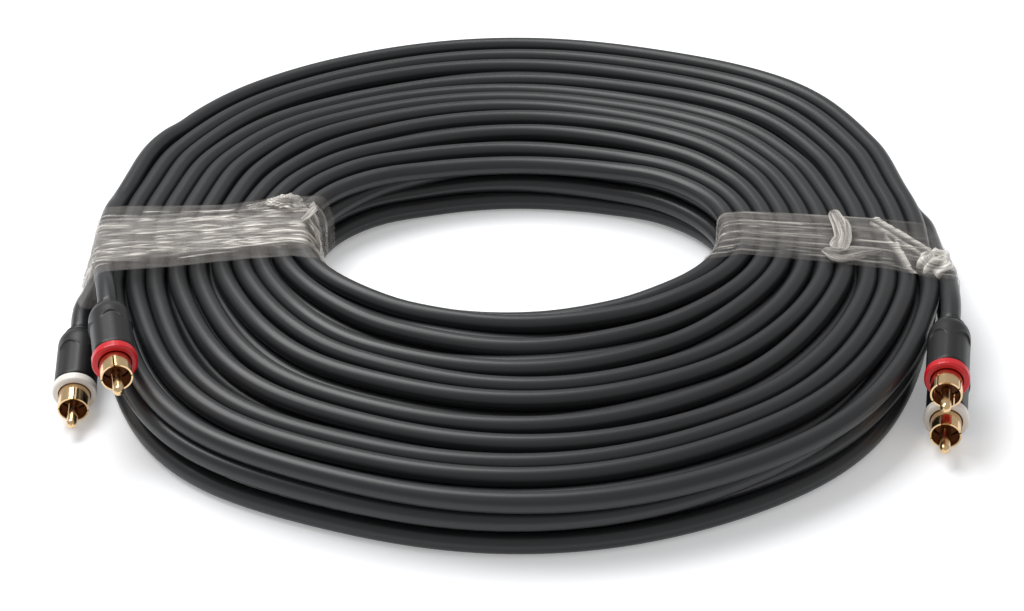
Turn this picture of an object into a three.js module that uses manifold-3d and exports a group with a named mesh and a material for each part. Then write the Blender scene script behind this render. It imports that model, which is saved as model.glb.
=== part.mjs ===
// A coiled stereo audio cable: two coaxial cords wound together into one flat coil, each with a
// phono plug on both ends. Two wraps of clear film tie the coil at its left and right sides.
// Millimetres, +Z up. The origin is the middle of the coil, on the surface that it lies on.

import * as THREE from 'three';
import { mergeVertices } from 'three/addons/utils/BufferGeometryUtils.js';
import Module from 'manifold-3d';

// Clearance between pieces that touch
const FIT_GAP = 0.3;

// Cord
const JACKET_DIAMETER = 6.15;
const JACKET_RADIUS = JACKET_DIAMETER / 2;
const LEAD_SIDES = 10;
const LEAD_STEP = 7;
const LEAD_SAMPLES = 120;

// Coil: radii at the ties, and how far it spreads and sinks between them
const COIL_LAYERS = 4;
const COIL_OUTER_RADIUS = 137;
const COIL_OUTER_SPREAD = 6;
const COIL_OUTER_SQUARENESS = 4.5;
const COIL_CORNER_SHARPNESS = 6;
const COIL_OUTER_SKEW = 2.2;
const COIL_SKEW_SHARPNESS = 5;
const COIL_TIE_NARROWING = 5.5;
const TIE_MIDDLE = THREE.MathUtils.degToRad(3);
const TIE_FULL = THREE.MathUtils.degToRad(7);
const TIE_END = THREE.MathUtils.degToRad(21);
const COIL_HOLE_RADIUS = 66;
const COIL_HOLE_PINCH = 22.5;
const COIL_HOLE_SQUARENESS = 3;
const COIL_SINK = 2;
const COIL_SEGMENTS = 64;
const COIL_CORNER_STEPS = 3;

// Nested layers rise by the height of a triangle of three touching jackets
const LAYER_RISE = JACKET_DIAMETER * Math.sin(Math.PI / 3);
const COIL_HEIGHT = JACKET_DIAMETER + (COIL_LAYERS - 1) * LAYER_RISE;

// Film wraps
const FILM_THICKNESS = 0.5;
const FILM_DIRECTIONS = 24;
const FILM_EDGE_PASSES = 6;
const FILM_TURN = THREE.MathUtils.degToRad(9);
const LEFT_FILM_WIDTH = 38;
const RIGHT_FILM_WIDTH = 29;
const FILMS = [
  { name: 'left_film_wrap', side: -1, width: LEFT_FILM_WIDTH },
  { name: 'right_film_wrap', side: 1, width: RIGHT_FILM_WIDTH },
];

// The film passes under the coil and lifts it, by its own thickness and a gap. The lift fades away
// from the ties
const FILM_LIFT = FILM_THICKNESS + FIT_GAP;
const LIFT_FULL = THREE.MathUtils.degToRad(34);
const LIFT_END = THREE.MathUtils.degToRad(54);

// Plug: lengths run along its axis from the front face of the colour ring
const PIN_DIAMETER = 3.2;
const PIN_REACH = 7.5;
const SHELL_DIAMETER = 9.3;
const SHELL_WALL = 0.5;
const SHELL_LENGTH = 6.6;
const SLOT_WIDTH = 0.4;
const SLOT_LENGTH = 5;
const INSULATOR_LENGTH = 2.4;
const INSULATOR_PROUD = 1.2;
const RING_DIAMETER = 13.4;
const RING_RADIUS = RING_DIAMETER / 2;
const RING_LENGTH = 3;
const RING_EDGE = 0.7;
const BARREL_DIAMETER = 12.8;
const BARREL_REAR_DIAMETER = 11.6;
const BARREL_LENGTH = 23;
const BARREL_EDGE = 0.8;
const BARREL_REAR_EDGE = 1.5;
const NECK_LENGTH = 3.1;
const NECK_GROOVE_WIDTH = 0.8;
const NECK_GROOVE_DEPTH = 0.6;
const GRIP_COUNT = 4;
const GRIP_WIDTH = 6.6;
const GRIP_LENGTH = 14;
const GRIP_DEPTH = 0.8;
const GRIP_FRONT_MARGIN = 1.4;
const ROUND_SEGMENTS = 40;
const PIN_SEGMENTS = 24;
const TIP_STEPS = 5;
const EDGE_STEPS = 3;

// Heights of the plugs' axes. A plug on the floor rests on the front edge of its colour ring and its
// nose drops by the tilt. One right plug lies on the other, and one left plug on the coil's shoulder
const LONE_TILT = 7;
const PAIR_TILT = 2.5;
const SHOULDER_TILT = 2.5;
const SHOULDER_REST = 5.9;
const LONE_AXIS = RING_RADIUS * Math.cos(THREE.MathUtils.degToRad(LONE_TILT));
const PAIR_AXIS = RING_RADIUS * Math.cos(THREE.MathUtils.degToRad(PAIR_TILT));
const PAIR_RISE = (RING_DIAMETER + FIT_GAP) / Math.cos(THREE.MathUtils.degToRad(PAIR_TILT));
const SHOULDER_AXIS = COIL_HEIGHT + SHOULDER_REST;

const RED = 0xc9202b;
const WHITE = 0xece7df;

// Where things lie beside the coil, as [degrees round it, distance from its outer edge, height]:
// the middle of each colour ring's front face, and the points that its lead passes on the way out.
// A plug points along -Y when its heading is 0, with a finger panel on top when its roll is 0
const ENDS = [
  {
    name: 'left_red',
    colour: RED,
    face: [-142.8, 2.6, SHOULDER_AXIS],
    heading: 12.5,
    tilt: SHOULDER_TILT,
    roll: 4,
    route: [[173.8, 2, 21.2], [179.1, 1.8, 22.2], [-174.7, 1.2, 24], [-166.8, -2, 26]],
  },
  {
    name: 'left_white',
    colour: WHITE,
    face: [-150.9, 12.1, LONE_AXIS],
    heading: 5,
    tilt: LONE_TILT,
    roll: -8,
    route: [[174.1, 3.5, 9.6], [179.2, 3.6, 10], [-175.8, 4, 10.4], [-170.8, 4.4, 10]],
  },
  {
    name: 'right_red',
    colour: RED,
    face: [-34.7, 12.3, PAIR_AXIS + PAIR_RISE],
    heading: -11,
    tilt: PAIR_TILT,
    roll: 38,
    route: [[6, 3.4, 14.6], [0.9, 3.4, 15.4], [-5.1, 3.6, 17], [-11.3, 3.4, 19]],
  },
  {
    name: 'right_white',
    colour: WHITE,
    face: [-34.9, 13.9, PAIR_AXIS],
    heading: -11,
    tilt: PAIR_TILT,
    roll: 20,
    route: [[6, 3.4, 4], [0.9, 3.4, 4.6], [-5.1, 3.8, 6], [-11.2, 4.1, 7.6]],
  },
];

const FINISHES = {
  jacket: { color: 0x1b1c1e, roughness: 0.42, metalness: 0 },
  body: { color: 0x161718, roughness: 0.5, metalness: 0 },
  gold: { color: 0xe2bd7d, roughness: 0.22, metalness: 1 },
  insulator: { color: 0x3a2413, roughness: 0.6, metalness: 0 },
  film: { color: 0xdfe3e6, roughness: 0.2, metalness: 0, transparent: true, opacity: 0.35 },
};

const wasm = await Module();
wasm.setup();

// Closed meshes to solids and back

function toSolid(geometry) {
  const bare = geometry.clone();
  bare.deleteAttribute('normal');
  bare.deleteAttribute('uv');
  const merged = mergeVertices(bare, 1e-4);
  return new wasm.Manifold(new wasm.Mesh({
    numProp: 3,
    vertProperties: new Float32Array(merged.attributes.position.array),
    triVerts: new Uint32Array(merged.index.array),
  }));
}

function toGeometry(solid) {
  const mesh = solid.getMesh();
  const geometry = new THREE.BufferGeometry();
  geometry.setAttribute('position', new THREE.BufferAttribute(new Float32Array(mesh.vertProperties), 3));
  geometry.setIndex(new THREE.BufferAttribute(new Uint32Array(mesh.triVerts), 1));
  geometry.computeVertexNormals();
  return geometry;
}

function cut(base, cutters) {
  let solid = toSolid(base);
  for (const cutter of cutters) {
    solid = solid.subtract(toSolid(cutter));
  }
  return toGeometry(solid);
}

// A turned solid about the plug's axis, from [radius, distance] corners in order from back to front
function turned(corners, segments = ROUND_SEGMENTS) {
  return new THREE.LatheGeometry(corners.map(([radius, along]) => new THREE.Vector2(radius, along)), segments);
}

// Plug pieces, along +Y, with the front face of the colour ring at 0

function pinGeometry() {
  const radius = PIN_DIAMETER / 2;
  const tip = SHELL_LENGTH + PIN_REACH;
  const tail = INSULATOR_PROUD - INSULATOR_LENGTH + FIT_GAP;
  const corners = [[0, tail], [radius, tail]];
  for (let step = 0; step <= TIP_STEPS; step += 1) {
    const angle = (step / TIP_STEPS) * (Math.PI / 2);
    corners.push([radius * Math.cos(angle), tip - radius + radius * Math.sin(angle)]);
  }
  corners[corners.length - 1][0] = 0;
  return turned(corners, PIN_SEGMENTS);
}

function shellGeometry() {
  const outer = SHELL_DIAMETER / 2;
  const inner = outer - SHELL_WALL;
  const back = -RING_LENGTH;
  const front = SHELL_LENGTH;
  const tube = turned([[inner, back], [outer, back], [outer, front], [inner, front], [inner, back]]);
  const slotTop = SHELL_LENGTH + 1;
  const slots = [0, Math.PI / 2].map((turn) => {
    const slot = new THREE.BoxGeometry(SLOT_WIDTH, SLOT_LENGTH + 1, SHELL_DIAMETER + 1);
    slot.translate(0, slotTop - (SLOT_LENGTH + 1) / 2, 0);
    return slot.rotateY(turn);
  });
  return cut(tube, slots);
}

function insulatorGeometry() {
  const bore = PIN_DIAMETER / 2 + FIT_GAP;
  const outer = SHELL_DIAMETER / 2 - SHELL_WALL - FIT_GAP;
  const front = INSULATOR_PROUD;
  const back = front - INSULATOR_LENGTH;
  return turned([[bore, back], [outer, back], [outer, front], [bore, front], [bore, back]], PIN_SEGMENTS);
}

function ringGeometry() {
  const bore = SHELL_DIAMETER / 2 + FIT_GAP;
  const corners = [[bore, -RING_LENGTH], [RING_RADIUS - RING_EDGE / 2, -RING_LENGTH]];
  corners.push([RING_RADIUS, -RING_LENGTH + RING_EDGE / 2]);
  for (let step = 0; step <= EDGE_STEPS; step += 1) {
    const angle = (step / EDGE_STEPS) * (Math.PI / 2);
    const radius = RING_RADIUS - RING_EDGE + RING_EDGE * Math.cos(angle);
    corners.push([radius, -RING_EDGE + RING_EDGE * Math.sin(angle)]);
  }
  corners.push([bore, 0], [bore, -RING_LENGTH]);
  return turned(corners);
}

// Corners of a quarter round, from the end face at a distance along the axis to the side
function roundedEdge(radius, end, round) {
  const corners = [];
  for (let step = 0; step <= EDGE_STEPS; step += 1) {
    const angle = (step / EDGE_STEPS) * (Math.PI / 2);
    corners.push([radius - round + round * Math.sin(angle), end + round - round * Math.cos(angle)]);
  }
  return corners;
}

// The front of the moulded barrel is a spigot inside the ground shell, behind the insulator
function barrelGeometry() {
  const radius = BARREL_DIAMETER / 2;
  const rearRadius = BARREL_REAR_DIAMETER / 2;
  const front = -RING_LENGTH - FIT_GAP;
  const rear = front - BARREL_LENGTH;
  const neck = rear + NECK_LENGTH;
  const spigot = SHELL_DIAMETER / 2 - SHELL_WALL - FIT_GAP;
  const spigotFront = INSULATOR_PROUD - INSULATOR_LENGTH - FIT_GAP;
  const grooveFloor = rearRadius - NECK_GROOVE_DEPTH;
  const body = turned([
    [0, rear],
    ...roundedEdge(rearRadius, rear, BARREL_REAR_EDGE),
    [rearRadius, neck - NECK_GROOVE_WIDTH],
    [grooveFloor, neck - NECK_GROOVE_WIDTH],
    [grooveFloor, neck],
    [rearRadius, neck],
    [radius, neck + BARREL_EDGE],
    [radius, front - BARREL_EDGE / 2],
    [radius - BARREL_EDGE / 2, front],
    [spigot, front],
    [spigot, spigotFront],
    [0, spigotFront],
  ]);
  const grips = [];
  for (let index = 0; index < GRIP_COUNT; index += 1) {
    grips.push(gripCutter(radius, front).rotateY((index / GRIP_COUNT) * 2 * Math.PI));
  }
  return cut(body, grips);
}

// A finger panel: flat, square at the front and round at the back
function gripCutter(radius, front) {
  const half = GRIP_WIDTH / 2;
  const start = front - GRIP_FRONT_MARGIN;
  const end = start - GRIP_LENGTH + half;
  const outline = new THREE.Shape();
  outline.moveTo(-half, start);
  outline.lineTo(-half, end);
  outline.absarc(0, end, half, Math.PI, 2 * Math.PI, false);
  outline.lineTo(half, start);
  const settings = { depth: BARREL_DIAMETER, bevelEnabled: false, curveSegments: 8 };
  return new THREE.ExtrudeGeometry(outline, settings).translate(0, 0, radius - GRIP_DEPTH);
}

const PLUG_PIECES = [
  { name: 'pin', geometry: pinGeometry, finish: 'gold' },
  { name: 'ground_shell', geometry: shellGeometry, finish: 'gold' },
  { name: 'insulator', geometry: insulatorGeometry, finish: 'insulator' },
  { name: 'colour_ring', geometry: ringGeometry, finish: 'ring' },
  { name: 'barrel', geometry: barrelGeometry, finish: 'body' },
];

function besideCoil([degrees, beside, height]) {
  const angle = THREE.MathUtils.degToRad(degrees);
  const radius = outerRadius(angle) + beside;
  return new THREE.Vector3(radius * Math.cos(angle), radius * Math.sin(angle), height);
}

// A plug's axis, whose nose drops by its tilt
function plugAxis({ heading, tilt }) {
  const turn = THREE.MathUtils.degToRad(heading);
  const drop = THREE.MathUtils.degToRad(tilt);
  return new THREE.Vector3(Math.sin(turn) * Math.cos(drop), -Math.cos(turn) * Math.cos(drop), -Math.sin(drop));
}

function finishFor(kind, colour) {
  if (kind === 'ring') {
    return new THREE.MeshStandardMaterial({ color: colour, roughness: 0.35, metalness: 0 });
  }
  return new THREE.MeshStandardMaterial(FINISHES[kind]);
}

function makePlug(end) {
  const plug = new THREE.Group();
  const along = plugAxis(end);
  const sideways = new THREE.Vector3().crossVectors(along, new THREE.Vector3(0, 0, 1)).normalize();
  const upward = new THREE.Vector3().crossVectors(sideways, along);
  plug.quaternion.setFromRotationMatrix(new THREE.Matrix4().makeBasis(sideways, along, upward));
  plug.rotateY(THREE.MathUtils.degToRad(end.roll));
  plug.position.copy(besideCoil(end.face));
  for (const piece of PLUG_PIECES) {
    const mesh = new THREE.Mesh(piece.geometry(), finishFor(piece.finish, end.colour));
    mesh.name = `${end.name}_${piece.name}`;
    plug.add(mesh);
  }
  return plug;
}

// The free lead runs straight into the back of its plug over the last stretch
function leadPoints(end) {
  const axis = plugAxis(end);
  const face = besideCoil(end.face);
  const back = RING_LENGTH + FIT_GAP + BARREL_LENGTH + FIT_GAP;
  const route = end.route.map(besideCoil);
  route.push(face.clone().addScaledVector(axis, -back - 2 * JACKET_DIAMETER));
  route.push(face.clone().addScaledVector(axis, -back));
  return route;
}

function leadCurve(end) {
  return new THREE.CatmullRomCurve3(leadPoints(end), false, 'centripetal');
}

function makeLead(end) {
  const curve = leadCurve(end);
  const section = new THREE.Shape();
  for (let side = 0; side < LEAD_SIDES; side += 1) {
    const angle = (side / LEAD_SIDES) * 2 * Math.PI;
    const method = side === 0 ? 'moveTo' : 'lineTo';
    section[method](JACKET_RADIUS * Math.cos(angle), JACKET_RADIUS * Math.sin(angle));
  }
  const steps = Math.ceil(curve.getLength() / LEAD_STEP);
  const tube = new THREE.ExtrudeGeometry(section, { steps, extrudePath: curve, bevelEnabled: false });
  const mesh = new THREE.Mesh(tube, finishFor('jacket'));
  mesh.name = `${end.name}_lead`;
  return mesh;
}

// The outer end of the top layer lies half a jacket further in, so the upper outer corner is cut off
const SHOULDER_DROP = LAYER_RISE;
const SHOULDER_INSET = JACKET_DIAMETER * 0.75;

// Corners of the coil's section: across runs from 0 at the hole to 1 outside, up from 0 to 1
function coilSection() {
  const width = COIL_OUTER_RADIUS - COIL_HOLE_RADIUS;
  const round = JACKET_RADIUS;
  const corners = [];
  const arc = (across, up, from) => {
    for (let step = 0; step <= COIL_CORNER_STEPS; step += 1) {
      const angle = from + (step / COIL_CORNER_STEPS) * (Math.PI / 2);
      corners.push([(across + round * Math.cos(angle)) / width, (up + round * Math.sin(angle)) / COIL_HEIGHT]);
    }
  };
  arc(width - round, round, -Math.PI / 2);
  corners.push([1, (COIL_HEIGHT - SHOULDER_DROP) / COIL_HEIGHT]);
  corners.push([1 - SHOULDER_INSET / width, 1]);
  arc(round, COIL_HEIGHT - round, Math.PI / 2);
  arc(round, round, Math.PI);
  corners.push(corners[0]);
  return corners;
}

// Between the ties the hole closes in and the outside spreads, most of all halfway to the front and
// back, and a little more at the front left and back right. At the ties the coil is narrower, because the leads lie beside it inside the film
function holeRadius(angle) {
  const corner = COIL_HOLE_SQUARENESS * Math.sin(2 * angle) ** 2;
  return COIL_HOLE_RADIUS - COIL_HOLE_PINCH * Math.sin(angle) ** 2 - corner;
}

function outerRadius(angle) {
  const corner = COIL_OUTER_SQUARENESS * Math.sin(2 * angle) ** COIL_CORNER_SHARPNESS;
  const skew = COIL_OUTER_SKEW * Math.sin(2 * angle) ** COIL_SKEW_SHARPNESS;
  const spread = COIL_OUTER_SPREAD * Math.sin(angle) ** 2;
  const fromTie = Math.abs(fromSide(angle) - TIE_MIDDLE);
  const held = 1 - THREE.MathUtils.smoothstep(fromTie, TIE_FULL, TIE_END);
  return COIL_OUTER_RADIUS + spread + corner + skew - COIL_TIE_NARROWING * held;
}

// Angle from the nearer end of the coil's left to right line, positive towards the back
function fromSide(angle) {
  return Math.asin(Math.sin(angle));
}

function filmLift(angle) {
  return FILM_LIFT * (1 - THREE.MathUtils.smoothstep(Math.abs(fromSide(angle)), LIFT_FULL, LIFT_END));
}

// The section is turned into a round ring, and each vertex then moves to the coil's real outline
function makeCoil() {
  const section = coilSection().map(([across, up]) => new THREE.Vector2(1 + across, up));
  const ring = new THREE.LatheGeometry(section, COIL_SEGMENTS);
  const position = ring.attributes.position;
  for (let index = 0; index < position.count; index += 1) {
    const x = position.getX(index);
    const y = -position.getZ(index);
    const across = Math.hypot(x, y) - 1;
    const up = position.getY(index);
    const angle = Math.atan2(y, x);
    const radius = THREE.MathUtils.lerp(holeRadius(angle), outerRadius(angle), across);
    const height = COIL_HEIGHT - COIL_SINK * Math.sin(angle) ** 2;
    const z = filmLift(angle) + up * height;
    position.setXYZ(index, radius * Math.cos(angle), radius * Math.sin(angle), z);
  }
  const mesh = new THREE.Mesh(toGeometry(toSolid(ring)), finishFor('jacket'));
  mesh.name = 'cable_coil';
  return mesh;
}

// The convex outline of some [x, z] points, walked once round from left to right and back
function convexOutline(points) {
  const sorted = [...points].sort((a, b) => a[0] - b[0] || a[1] - b[1]);
  const turn = (a, b, c) => (b[0] - a[0]) * (c[1] - a[1]) - (b[1] - a[1]) * (c[0] - a[0]);
  const half = (list) => {
    const chain = [];
    for (const point of list) {
      while (chain.length > 1 && turn(chain[chain.length - 2], chain[chain.length - 1], point) < 1e-6) {
        chain.pop();
      }
      chain.push(point);
    }
    return chain.slice(0, -1);
  };
  return [...half(sorted), ...half(sorted.reverse())];
}

// Film is pulled taut, so it follows the convex outline of the round things inside it
function tautOutline(circles, clearance) {
  const points = [];
  for (const { x, z, radius } of circles) {
    for (let index = 0; index < FILM_DIRECTIONS; index += 1) {
      const angle = (index / FILM_DIRECTIONS) * 2 * Math.PI;
      points.push([x + (radius + clearance) * Math.cos(angle), z + (radius + clearance) * Math.sin(angle)]);
    }
  }
  return convexOutline(points).map(([x, z]) => new THREE.Vector2(x, z));
}

// How far the hole's edge is from the middle, measured along a tie's own line, at a distance beside it
function holeEdge(beside) {
  let angle = 0;
  for (let pass = 0; pass < FILM_EDGE_PASSES; pass += 1) {
    angle = Math.asin(beside / holeRadius(-Math.abs(angle) - FILM_TURN));
  }
  return holeRadius(-Math.abs(angle) - FILM_TURN) * Math.cos(angle);
}

// A tie's own frame: X outwards along its line, Y beside it, both turned towards the front
function tieTurn(side) {
  return new THREE.Matrix4().makeRotationZ(-side * FILM_TURN);
}

function makeFilm({ name, side, width }) {
  const half = width / 2;
  const innerX = holeEdge(half);
  const outerX = outerRadius(-FILM_TURN - Math.asin(half / COIL_OUTER_RADIUS));
  const circles = coilSection().map(([across, up]) => ({
    x: side * THREE.MathUtils.lerp(innerX, outerX, across),
    z: FILM_LIFT + up * COIL_HEIGHT,
    radius: 0,
  }));
  const lowest = FILM_LIFT + JACKET_RADIUS;
  const toTie = tieTurn(side).invert();
  for (const end of ENDS.filter(({ face }) => Math.sign(besideCoil(face).x) === side)) {
    const places = leadCurve(end).getPoints(LEAD_SAMPLES).map((place) => place.applyMatrix4(toTie));
    for (const place of places.filter(({ y }) => Math.abs(y) < half + JACKET_RADIUS)) {
      circles.push({ x: place.x, z: Math.max(place.z, lowest), radius: JACKET_RADIUS });
    }
  }
  const band = new THREE.Shape(tautOutline(circles, FIT_GAP + FILM_THICKNESS));
  band.holes.push(new THREE.Path(tautOutline(circles, FIT_GAP)));
  const wrap = new THREE.ExtrudeGeometry(band, { depth: width, bevelEnabled: false });
  wrap.rotateX(Math.PI / 2);
  wrap.translate(0, half, 0);
  wrap.applyMatrix4(tieTurn(side));
  const mesh = new THREE.Mesh(wrap, finishFor('film'));
  mesh.name = name;
  return mesh;
}

const cable = new THREE.Group();
cable.add(makeCoil());
for (const film of FILMS) {
  cable.add(makeFilm(film));
}
for (const end of ENDS) {
  cable.add(makePlug(end));
  cable.add(makeLead(end));
}

export default cable;
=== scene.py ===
# A stereo audio cable, wound up and tied with clear film: two black coaxial cords, each with a gold
# phono plug on both ends. This file is a lesson in cells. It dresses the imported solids, piece by
# piece, in metres, in the same frame as the solids.

import bpy
import numpy as np
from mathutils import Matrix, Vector


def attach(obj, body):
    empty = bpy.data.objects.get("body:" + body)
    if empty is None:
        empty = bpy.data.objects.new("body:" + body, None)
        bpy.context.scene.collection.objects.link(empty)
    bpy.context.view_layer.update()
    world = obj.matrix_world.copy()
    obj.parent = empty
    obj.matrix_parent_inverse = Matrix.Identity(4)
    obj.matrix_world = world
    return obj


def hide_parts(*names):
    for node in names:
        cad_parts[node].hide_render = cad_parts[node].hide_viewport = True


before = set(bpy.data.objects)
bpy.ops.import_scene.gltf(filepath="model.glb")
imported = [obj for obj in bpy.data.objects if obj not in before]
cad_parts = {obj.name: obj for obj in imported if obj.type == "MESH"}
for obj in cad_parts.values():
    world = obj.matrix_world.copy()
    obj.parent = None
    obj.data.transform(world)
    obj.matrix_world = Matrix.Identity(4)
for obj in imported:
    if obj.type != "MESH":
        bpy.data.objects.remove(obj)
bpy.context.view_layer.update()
print("solids:", len(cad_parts))

# %% [markdown]
# ## Camera
# The camera comes first, because the cords are measured against what it sees. It stands in front of
# the coil, 39 cm up and 61 cm away, and looks down at it with a long lens. A long lens keeps the back
# of the coil nearly as wide as the front. The place and the pitch were worked out from the outline of
# the coil and the hole in it.

# %% Camera
CAMERA_PLACE = (-0.002, -0.607, 0.390)
CAMERA_PITCH = np.radians(33.4)
SENSOR_WIDTH = 36.0
FOCAL_SHARE = 2175 / 1024

camera_data = bpy.data.cameras.new("camera")
camera_data.sensor_width = SENSOR_WIDTH
camera_data.lens = SENSOR_WIDTH * FOCAL_SHARE
camera = bpy.data.objects.new("camera", camera_data)
camera.location = CAMERA_PLACE
camera.rotation_euler = (np.pi / 2 - CAMERA_PITCH, 0, 0)
bpy.context.collection.objects.link(camera)
bpy.context.scene.camera = camera
print("lens in millimetres:", round(camera_data.lens, 1))

# %% [markdown]
# ## Making a mesh from a grid
# Almost every piece here is a surface with two parameters: one runs along a cord or a plug, the other
# runs round it. numpy works out all the points at once, and one helper turns the grid into a mesh.
# The faces are listed so that they point outwards when the second parameter turns anticlockwise, seen
# from the far end of the first.

# %% Grid to mesh
MM = 0.001


def grid_faces(rows, columns, wrap):
    """Corners of the quads of a rows x columns grid. With wrap, the last column joins the first."""
    row = np.arange(rows - 1)[:, None]
    column = np.arange(columns if wrap else columns - 1)[None, :]
    following = (column + 1) % columns
    corners = [row * columns + column, row * columns + following,
               (row + 1) * columns + following, (row + 1) * columns + column]
    return np.stack(np.broadcast_arrays(*corners), -1).reshape(-1, 4)


def make_mesh(name, points, quads, caps=(), smooth=True, uv=None):
    """A mesh object from points in metres, quads, and caps: longer faces that close its ends."""
    faces = [list(map(int, quad)) for quad in quads] + [list(map(int, cap)) for cap in caps]
    mesh = bpy.data.meshes.new(name)
    mesh.from_pydata(np.asarray(points, float).reshape(-1, 3).tolist(), [], faces)
    mesh.polygons.foreach_set("use_smooth", np.full(len(mesh.polygons), smooth))
    if uv is not None:
        corner_points = np.empty(len(mesh.loops), int)
        mesh.loops.foreach_get("vertex_index", corner_points)
        layer = mesh.uv_layers.new(name="along_round")
        layer.data.foreach_set("uv", np.asarray(uv, float).reshape(-1, 2)[corner_points].ravel())
    mesh.update()
    piece = bpy.data.objects.new(name, mesh)
    bpy.context.collection.objects.link(piece)
    return piece


def tube(name, path, radius, sides):
    """Points path[i] + radius (cos t N[i] + sin t B[i]): a circle of some sides carried along a path.

    N is the up direction with its share along the path taken out, and B is at right angles to both.
    The uv layer holds millimetres along the path and the share of a turn round it.
    """
    along = np.gradient(path, axis=0)
    along /= np.linalg.norm(along, axis=1, keepdims=True)
    across = np.cross(along, [0.0, 0.0, 1.0])
    across /= np.linalg.norm(across, axis=1, keepdims=True)
    upward = np.cross(across, along)
    turn = 2 * np.pi * np.arange(sides) / sides
    ring = (np.cos(turn)[None, :, None] * upward[:, None]
            + np.sin(turn)[None, :, None] * across[:, None])
    points = path[:, None] + radius * ring
    run = np.r_[0, np.cumsum(np.linalg.norm(np.diff(path, axis=0), axis=1))] / MM
    uv = np.stack(np.broadcast_arrays(run[:, None], (turn / (2 * np.pi))[None, :]), -1)
    last = (len(path) - 1) * sides
    caps = [range(sides - 1, -1, -1), range(last, last + sides)]
    return make_mesh(name, points, grid_faces(len(path), sides, True), caps, uv=uv)


print("helpers ready")

# %% [markdown]
# ## How the coil was wound
# Each cord comes from its right plug, runs anticlockwise round the coil twenty-one and a half times and
# leaves on the left. A coil that is wound like this has layers: the cord goes inwards turn by turn,
# climbs, and comes back outwards on top of what it laid. So the whole shape follows from one number
# that grows along the cord, the turns wound so far. The coil isn't round: the film pulls it tight at
# the left and right, and between the ties it spreads, sinks and closes in on its hole. These are the
# same outlines as those of the plain solid that stands for it.

# %% Outline of the coil
JACKET = 6.15
HALF_JACKET = JACKET / 2
DEGREE = np.pi / 180
LAYERS = 4
LAYER_RISE = JACKET * np.sin(np.pi / 3)
COIL_HEIGHT = JACKET + (LAYERS - 1) * LAYER_RISE

# Millimetres and degrees, each as in the plain solid
HOLE_RADIUS, HOLE_PINCH, HOLE_SQUARENESS = 66, 22.5, 3
OUTER_RADIUS, OUTER_SPREAD, OUTER_SQUARENESS, OUTER_SKEW = 137, 6, 4.5, 2.2
TIE_MIDDLE, TIE_FULL, TIE_END = 3, 7, 21
LIFT, LIFT_FULL, LIFT_END = 0.8, 34, 54
SINK = 2


def smoothstep(value, low, high):
    """0 below low, 1 above high, and 3 t^2 - 2 t^3 between, t being the share of the way."""
    share = np.clip((value - low) / (high - low), 0, 1)
    return share * share * (3 - 2 * share)


def from_side(angle):
    """The angle from the nearer end of the left to right line, positive towards the back."""
    return np.arcsin(np.sin(angle))


def hole_radius(angle):
    """The radius at the ties, less a pinch by sin^2 a and a squareness by sin^2 2a."""
    return HOLE_RADIUS - HOLE_PINCH * np.sin(angle) ** 2 - HOLE_SQUARENESS * np.sin(2 * angle) ** 2


def tie_hold(angle):
    """1 inside a tie, fading to 0 between two angles from its middle."""
    away = np.abs(from_side(angle) - TIE_MIDDLE * DEGREE)
    return 1 - smoothstep(away, TIE_FULL * DEGREE, TIE_END * DEGREE)


def outer_radius(angle):
    """A radius, a spread by sin^2 a, square corners by sin^6 2a and a skew by sin^5 2a."""
    twice = np.sin(2 * angle)
    return (OUTER_RADIUS + OUTER_SPREAD * np.sin(angle) ** 2 + OUTER_SQUARENESS * twice ** 6
            + OUTER_SKEW * twice ** 5)


def film_lift(angle):
    """How far the film under the coil lifts it, full near the ties and fading to nothing."""
    return LIFT * (1 - smoothstep(np.abs(from_side(angle)), LIFT_FULL * DEGREE, LIFT_END * DEGREE))


def top_height(angle):
    """The height of the nested layers, less a sink by sin^2 a between the ties."""
    return film_lift(angle) + COIL_HEIGHT - SINK * np.sin(angle) ** 2


print("width at a tie and at the front:", outer_radius(0.0) - hole_radius(0.0),
      outer_radius(-np.pi / 2) - hole_radius(-np.pi / 2))

# %% [markdown]
# ### Four free ends
# Each cord leaves the film beside the coil and runs a few centimetres forward to its plug. A route
# point is an angle round the coil, a distance from its edge and a height, so that it stays beside the
# coil when the outline changes. A plug has the middle of its front ring, a heading and a tilt: the left
# red plug rests on the coil's shoulder, the right red one on the right white one, and the white ones
# on the table, each on the front edge of its ring.

# %% Route of the free ends
ROUTES = {
    "left_red": [(173.8, 2, 21.2), (179.1, 1.8, 22.2), (-174.7, 1.2, 24), (-166.8, -2, 26)],
    "left_white": [(174.1, 3.5, 9.6), (179.2, 3.6, 10), (-175.8, 4, 10.4), (-170.8, 4.4, 10)],
    "right_red": [(6, 3.4, 14.6), (0.9, 3.4, 15.4), (-5.1, 3.6, 17), (-11.3, 3.4, 19)],
    "right_white": [(6, 3.4, 4), (0.9, 3.4, 4.6), (-5.1, 3.8, 6), (-11.2, 4.1, 7.6)],
}
TIE_NARROWING = 5.5
RING_RADIUS, RING_LENGTH = 6.7, 3
SOLID_BARREL_LENGTH = 23
FIT_GAP = 0.3
SHOULDER_REST = 5.9
LONE_TILT, PAIR_TILT, SHOULDER_TILT = 7, 2.5, 2.5
LONE_AXIS = RING_RADIUS * np.cos(LONE_TILT * DEGREE)
PAIR_AXIS = RING_RADIUS * np.cos(PAIR_TILT * DEGREE)
PAIR_RISE = (2 * RING_RADIUS + FIT_GAP) / np.cos(PAIR_TILT * DEGREE)
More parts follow.
